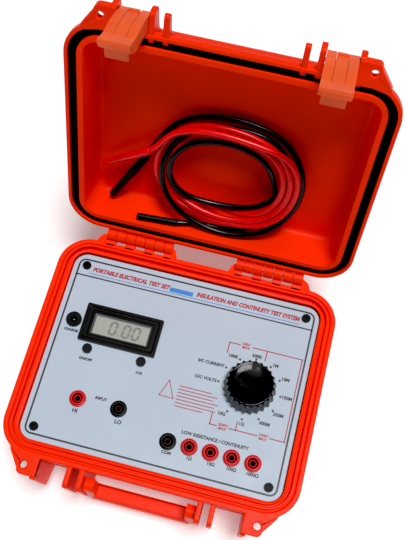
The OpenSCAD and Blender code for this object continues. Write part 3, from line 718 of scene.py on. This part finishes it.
# webs at both ends of the base's hinge, seen from above, and the shelf between the latch's and the eye's ribs
HINGE_WEBS = [
    [(93.5, BACK_Y - 2), (104, BACK_Y - 3), (101, BACK_Y + 4), (99, BACK_Y + 7), (93.5, BACK_Y + 10)],
    [(31, BACK_Y - 2), (31, BACK_Y + 10), (28, BACK_Y + 8), (27, BACK_Y + 6), (24, BACK_Y - 2)],
]
FRONT_SHELF = [
    (BODY_FRONT + 2.5, -27), (FRONT_Y + 3, -30.5), (FRONT_Y + 2.2, -31), (FRONT_Y + 2.2, -34),
    (BODY_FRONT + 2.5, -34),
]


def make_shell(part, sections, where, ribs, eye_span, knuckles, side):
    """Half of the case: skin, front ribs with corner eyes, and hinge knuckles. side is as for an arm."""
    node = part + "_shell"
    skin = place(sweep(part + "_skin", sections), part + "_skin", part, case_plastic, where)
    even_normals(skin)
    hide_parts(node)
    lift = SHUT if side > 0 else BASE_RIM
    bm = bmesh.new()
    for flip in (False, True):
        for x, outline in ribs:
            add_prism(bm, outline, x - RIB_T / 2, x + RIB_T / 2, flip=flip)
        add_plate(bm, eye_outline(), *eye_span, hole=(*EYE, EYE_R), flip=flip)
    front = place(from_bmesh(bm, part + "_ribs"), part + "_ribs", part, case_plastic, where @ lift)
    soften(front, 0.9, 3)
    bm = bmesh.new()
    inset = KNUCKLE_GAP / 2
    for flip in (False, True):
        for x0, x1 in knuckles:
            add_prism(bm, barrel(), x0 + inset, x1 - inset, (HINGE_Y, HINGE_Z, PIN_R), flip)
            arm_end = x1 - (HINGE_WINDOW if side > 0 else inset)
            add_prism(bm, arm_outline(side), x0 + inset, arm_end, flip=flip)
        if side < 0:
            for web in HINGE_WEBS:
                add_plate(bm, web, -RIM_T + 1, -0.4, flip=flip)
            add_prism(bm, FRONT_SHELF, LATCH_RIB, EYE_RIB, flip=flip)
    hinge = place(from_bmesh(bm, part + "_knuckles"), part + "_knuckles", part, case_plastic, where @ lift)
    soften(hinge, 0.45, 2)
    for piece in (front, hinge):
        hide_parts(node)


# ---------- panel print ----------


class Print:
    """Everything printed in one ink on the panel or the display, as one thin raised mesh."""

    def __init__(self, name, ink, lift=0.03):
        self.name, self.ink, self.lift = name, ink, lift
        self.bm = bmesh.new()

    def words(self, text, x, y, height, bold=0.0, slant=0.0, width=None):
        """Words centred on a point, stretched to a width where one is given."""
        curve = bpy.data.curves.new("words", "FONT")
        curve.body = text
        curve.size = height / 0.69
        curve.align_x = curve.align_y = "CENTER"
        curve.offset = bold
        curve.shear = slant
        curve.extrude = self.lift
        curve.resolution_u = 3
        obj = bpy.data.objects.new("words", curve)
        bpy.context.scene.collection.objects.link(obj)
        depsgraph = bpy.context.evaluated_depsgraph_get()
        mesh = bpy.data.meshes.new_from_object(obj.evaluated_get(depsgraph))
        across = [v.co.x for v in mesh.vertices]
        stretch = width / (max(across) - min(across)) if width else 1.0
        mesh.transform(Matrix.Translation((x, y, 0)) @ Matrix.Diagonal((stretch, 1, 1, 1)))
        self.bm.from_mesh(mesh)
        bpy.data.objects.remove(obj)
        bpy.data.curves.remove(curve)
        bpy.data.meshes.remove(mesh)

    def bar(self, x0, y0, x1, y1, width):
        """A straight line of that width."""
        a, b = Vector((x0, y0)), Vector((x1, y1))
        ahead = (b - a).normalized() * width / 2
        side = Vector((-ahead.y, ahead.x))
        self.area([a - ahead + side, b + ahead + side, b + ahead - side, a - ahead - side])

    def path(self, points, width):
        for a, b in zip(points, points[1:]):
            self.bar(*a, *b, width)

    def area(self, outline):
        low, high = (
            [self.bm.verts.new((p[0], p[1], z)) for p in outline] for z in (-self.lift, self.lift)
        )
        self.bm.faces.new(low[::-1])
        self.bm.faces.new(high)
        for k in range(len(low)):
            self.bm.faces.new((low[k - 1], low[k], high[k], high[k - 1]))

    def dot(self, x, y, r):
        self.area(arc_points(x, y, r, 0, 345, 23))

    def frame(self, x, y, radius, width, arc=8):
        """Outline of a rectangle with round corners, half sizes x and y."""
        outer = ring(2 * x + width, 2 * y + width, radius + width / 2, 0, arc)
        inner = ring(2 * x - width, 2 * y - width, radius - width / 2, 0, arc)
        n = len(outer)
        loops = [
            [self.bm.verts.new((p[0], p[1], z)) for p in line]
            for z in (-self.lift, self.lift)
            for line in (outer, inner)
        ]
        for k in range(n):
            j = (k + 1) % n
            for a, b in ((0, 1), (2, 3), (0, 2), (1, 3)):
                self.bm.faces.new((loops[a][k], loops[a][j], loops[b][j], loops[b][k]))

    def done(self):
        piece = place(from_bmesh(self.bm, self.name), self.name, "base", self.ink, PANEL)
        for face in piece.data.polygons:
            face.use_smooth = False
        return piece


BOLD = 0.2
TITLE_BOLD, TITLE_SLANT = 0.34, 0.22
TITLE_Y, TITLE_H = 76.6, 3.9
RED_LINE = 1.0
DIAL_R = 28.3
DIAL_DOTS = (180, 150, 120, 90, 60, 30, 0, -30, -60, -90, -120)
DIAL_LABELS = (
    ("100K", 48.8, 27.2), ("500K", 69.7, 32.3), ("1M", 87.6, 27.9), ("10M", 98.9, 17.4),
    ("100M", 103.7, 1.1), ("250M", 99.6, -15.7), ("400M", 89.5, -26.2), ("1G", 69.9, -31.3),
    ("10G", 50.8, -26.6),
)


# text, place and height of the legends round the controls
LEGENDS = (
    ("CHARGE", -100.5, 14.4, 1.9), ("ON/OFF", -79.7, -8.9, 1.9), ("1/10", -29.8, -9.5, 1.9),
    ("INPUT", -55.3, -40.6, 2.1), ("COM", 12.6, -71.9, 2.1), ("S/C CURRENT", 31, 16, 2.2),
    ("O/C VOLTS", 29.5, 1, 2.2),
)
LEGEND_SCALE = 1.22
# right ends of the bars that stand in for the boxed small print
NOTE_ENDS = (38, 44, 41, 46, 43, 45, 34)


def print_panel():
    black = Print("panel_print_black", ink_black)
    black.frame(112.4, 85, 6, 1.6)
    black.bar(-112.4, 69, 112.4, 69, 1.3)
    for text, x, y, height in LEGENDS:
        black.words(text, x, y, height * LEGEND_SCALE, BOLD)
    for text, x, y in (("HI", -74.7, -56.5), ("LO", -35.1, -56.8)):
        black.words(text, x, y, 3.4, BOLD)
    black.words("LOW RESISTANCE / CONTINUITY", 51, -51, 2.9, BOLD, width=60)
    for text, x in (("1Ω", 33), ("10Ω", 52.3), ("100Ω", 70.5), ("1000Ω", 89)):
        black.words(text, x, -71.8, 2.8, BOLD)
    for text, x, y in DIAL_LABELS:
        black.words(text, x, y, 2.9, BOLD)
    for angle in DIAL_DOTS:
        a = math.radians(angle)
        black.dot(KNOB[0] + DIAL_R * math.cos(a), KNOB[1] + DIAL_R * math.sin(a), 1.05)
    black.done()

    red = Print("panel_print_red", ink_red)
    for text, x, width in (
        ("PORTABLE ELECTRICAL TEST SET", -61.5, 75), ("INSULATION AND CONTINUITY TEST SYSTEM", 50.6, 98),
    ):
        red.words(text, x, TITLE_Y, TITLE_H, TITLE_BOLD, TITLE_SLANT, width)
    red.path([(42.7, 29.5), (42.5, 39.3), (52, 39.3)], RED_LINE)
    red.path([(64, 39.3), (109.7, 39.3), (109.7, -37.6), (96.5, -37.6)], RED_LINE)
    red.bar(77.5, 38.6, 77.4, 29.9, RED_LINE)
    red.bar(85.3, -37.9, 60.4, -37.9, RED_LINE)
    red.bar(66.2, -30.2, 66.2, -37.9, RED_LINE)
    red.path([(48.9, -38), (42.9, -38), (43, -28)], RED_LINE)
    for text, x, y in (("500V", 58, 40.9), ("1000V", 90.8, -36.4), ("2500V", 54.6, -36.4)):
        red.words(text, x, y, 2.3, 0.14)
        red.words("MAX", x, y - 3.2, 2.3, 0.14)
    red.path([(-1, -8.8), (-6.8, -24), (5.9, -24.2), (-1, -8.8)], 0.75)
    for k, end in enumerate(NOTE_ENDS):
        y = -11.5 - 3.1 * k
        red.bar(9, y, end, y, 0.85)
    red.done()

    blue = Print("panel_print_blue", ink_blue)
    blue.area([(-23.7, 73.3), (-1.4, 73.3), (-1.4, 77.6), (-23.7, 77.6)])
    blue.bar(-101, 72, 100, 72, 0.7)
    blue.done()


# ---------- knob and bezel ----------

KNOB_FLUTES = 24
# height above the panel, radius and depth of the grip hollows
KNOB_PROFILE = [
    (1.2, 22.6, 1.2), (1.6, 23.4, 1.7), (2.6, 23.8, 2.0), (8, 23.3, 2.2), (14, 22.6, 2.2),
    (17.6, 22.1, 2.0), (18.8, 21.7, 1.7), (19.7, 21.0, 1.2), (20.3, 20.2, 0.6), (20.5, 19.4, 0.2),
    (20.5, 18.6, 0), (20.2, 17.4, 0), (19.7, 15.5, 0), (19.35, 12, 0), (19.25, 6, 0),
]


def make_knob():
    """Scalloped knob with pointed ridges and a dished top."""
    per_flute = 10
    count = KNOB_FLUTES * per_flute
    bm = bmesh.new()
    rings = []
    for z, radius, depth in KNOB_PROFILE:
        row = []
        for k in range(count):
            share = (k % per_flute) / per_flute
            r = radius - depth * math.sin(math.pi * share) ** 0.8
            a = 2 * math.pi * k / count
            row.append(bm.verts.new((KNOB[0] + r * math.cos(a), KNOB[1] + r * math.sin(a), z)))
        rings.append(row)
    join_rings(bm, rings)
    knob = place(from_bmesh(bm, "fluted_knob"), "fluted_knob", "knob", black_gloss, PANEL)
    even_normals(knob)
    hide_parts("range_knob")


METER = (-56, 25)
# width, depth, corner radius, height above the panel and the curve there, from the outside to the inside
BEZEL_SECTIONS = [
    (68.4, 32.4, 1.4, 3.5, 0), (68.4, 32.4, 1.4, 4.3, 0.3), (66.2, 30.2, 1.2, 4.3, 0.3),
    (64.8, 28.8, 1.0, 3.62, 0.2), (58.4, 24.4, 1.0, 3.62, 0.2), (57.2, 23.2, 0.9, 4.1, 0.25),
    (55.2, 21.4, 0.8, 4.1, 0.25), (54.2, 20.6, 0.8, 2.2, 0), (54.2, 20.6, 0.8, 1.7, 0),
]


def make_bezel_lip():
    """Raised lip round the meter's window."""
    bm = bmesh.new()
    join_rings(bm, [[bm.verts.new(p) for p in ring(*s)] for s in rounded(BEZEL_SECTIONS)], looped=True)
    bm.transform(Matrix.Translation((*METER, 0)))
    lip = place(from_bmesh(bm, "bezel_lip"), "bezel_lip", "base", black_plastic, PANEL)
    even_normals(lip)


# ---------- display ----------

DIGIT_H, DIGIT_W, DIGIT_STEP = 11.5, 5.6, 9.2
DIGITS_X, DIGITS_Y = -66.5, 25.2
DIGIT_LEAN = 0.09
DISPLAY_DROP = 0.94
SEGMENT = 1.95


def show_reading():
    """Seven-segment digits reading 0.00 on the display's face."""
    ink = Print("display_digits", digit_grey, 0.04)

    def segment(a, b, gap=0.1):
        a, b = Vector(a), Vector(b)
        d = (b - a).normalized()
        n = Vector((-d.y, d.x)) * SEGMENT / 2
        a, b = a + d * gap, b - d * gap
        half = d * SEGMENT / 2
        points = [a, a + half + n, b - half + n, b, b - half - n, a + half - n]
        ink.area([(p.x + DIGIT_LEAN * p.y, p.y) for p in points])

    low, mid, high = DIGITS_Y - DIGIT_H / 2, DIGITS_Y, DIGITS_Y + DIGIT_H / 2
    for steps in (0, 1.35, 2.35):
        x = DIGITS_X + DIGIT_STEP * steps - DIGIT_LEAN * DIGITS_Y
        for a, b in (
            ((x, high), (x + DIGIT_W, high)), ((x, low), (x + DIGIT_W, low)),
            ((x, low), (x, mid)), ((x, mid), (x, high)),
            ((x + DIGIT_W, low), (x + DIGIT_W, mid)), ((x + DIGIT_W, mid), (x + DIGIT_W, high)),
        ):
            segment(a, b)
    ink.dot(DIGITS_X + DIGIT_W + 2.9, low + 0.2, 0.75)
    piece = ink.done()
    piece.data.transform(Matrix.Translation((0, 0, -DISPLAY_DROP * MM)))


# ---------- carried-over CAD nodes ----------

# material and rounding of the edges. None leaves a node's mesh as it is, and 0 only joins its faces.
CAD_LOOKS = {
    "lid_seal": (seal_rubber, 0.4), "hinge_pins": (steel, 0.3), "pressure_valve": (black_plastic, 0.5),
    "latch_yoke_left": (latch_plastic, 0.5), "latch_yoke_right": (latch_plastic, 0.5),
    "latch_lever_left": (latch_plastic, 0.5), "latch_lever_right": (latch_plastic, 0.5),
    "latch_pins_left": (steel, 0.2), "latch_pins_right": (steel, 0.2),
    "lever_pin_left": (steel, 0.2), "lever_pin_right": (steel, 0.2),
    "carry_handle": (case_plastic, 1.4), "handle_pins": (steel, 0.2),
    "front_panel": (panel_paint, None), "panel_screws": (black_steel, 0.35), "screw_inserts": (brass, 0.2),
    "meter_bezel": (black_plastic, 0.35), "meter_window": (window_clear, 0.15),
    "meter_display": (display_grey, 0.1), "meter_board": (board_green, 0.1),
    "charge_socket": (black_plastic, 0.45), "charge_pin": (steel, 0.0), "charge_nut": (steel, 0.3),
    "power_button": (black_plastic, 0.5), "power_switch": (black_plastic, 0.2),
    "divide_button": (black_plastic, 0.5), "divide_switch": (black_plastic, 0.2),
    "switch_nuts": (steel, 0.05),
    "hi_socket": (red_plastic, 0.3), "lo_socket": (black_plastic, 0.3), "com_socket": (black_plastic, 0.3),
    "ohm_sockets": (red_plastic, 0.3), "socket_contacts": (contact_painted_shade, 0.1),
    "socket_nuts": (black_plastic, 0.3),
    "knob_pointer": (black_plastic, 0.1),
    "switch_shaft": (steel, 0.3), "switch_body": (phenolic, 0.4), "switch_nut": (steel, 0.1),
    "main_board": (board_green, 0.1), "board_spacers": (brass, 0.2), "board_screws": (steel, 0.3),
    "board_resistors": (resistor_tan, 0.5), "battery_pack": (cell_wrap, 0.7), "battery_bracket": (steel, 0.3),
}


def dress_cad_nodes():
    for node, (material, width) in CAD_LOOKS.items():
        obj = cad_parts[node]
        for slot in obj.material_slots:
            slot.material = material
        if width is None:
            continue
        weld = obj.modifiers.new("join_faces", "WELD")
        weld.merge_threshold = 0.01 * MM
        if width:
            soften(obj, width, 2, 30)
        else:
            even_normals(obj)


# ---------- stage ----------

BLACK_LEVEL = 0.008


def make_stage():
    size = 3.0
    mesh = bpy.data.meshes.new("floor")
    corners = [(-size, -size, 0), (size, -size, 0), (size, size, 0), (-size, size, 0)]
    mesh.from_pydata(corners, [], [(0, 1, 2, 3)])
    mesh.materials.append(floor_paper())
    floor = bpy.data.objects.new("floor", mesh)
    bpy.context.scene.collection.objects.link(floor)
    world = bpy.data.worlds.new("studio")
    world.use_nodes = True
    world.node_tree.nodes["Background"].inputs["Color"].default_value = (1.0, 1.0, 1.0, 1)
    world.node_tree.nodes["Background"].inputs["Strength"].default_value = 0.1
    bpy.context.scene.world = world
    make_sun("key_light", (0.14, 0.0, 1.0), 2.75, 20)
    view = bpy.context.scene.view_settings
    view.view_transform = "Standard"
    view.use_curve_mapping = True
    view.curve_mapping.black_level = (BLACK_LEVEL,) * 3
    view.curve_mapping.update()


make_camera()
make_leads()
make_shell(
    "base", BASE_SECTIONS, SHUT, [(x, base_rib_outline()) for x in (INNER_RIB, LATCH_RIB, EYE_RIB)],
    (-EYE_T - 0.3, -0.02), BASE_KNUCKLES, -1,
)
make_shell(
    "lid", LID_SECTIONS, LID,
    [(x, lid_rib_outline(height)) for x, height in ((INNER_RIB, 8), (LATCH_RIB, 14), (EYE_RIB, 14))],
    (0.22, EYE_T + 0.3), LID_KNUCKLES, 1,
)
make_knob()
make_bezel_lip()
print_panel()
show_reading()
dress_cad_nodes()
make_stage()
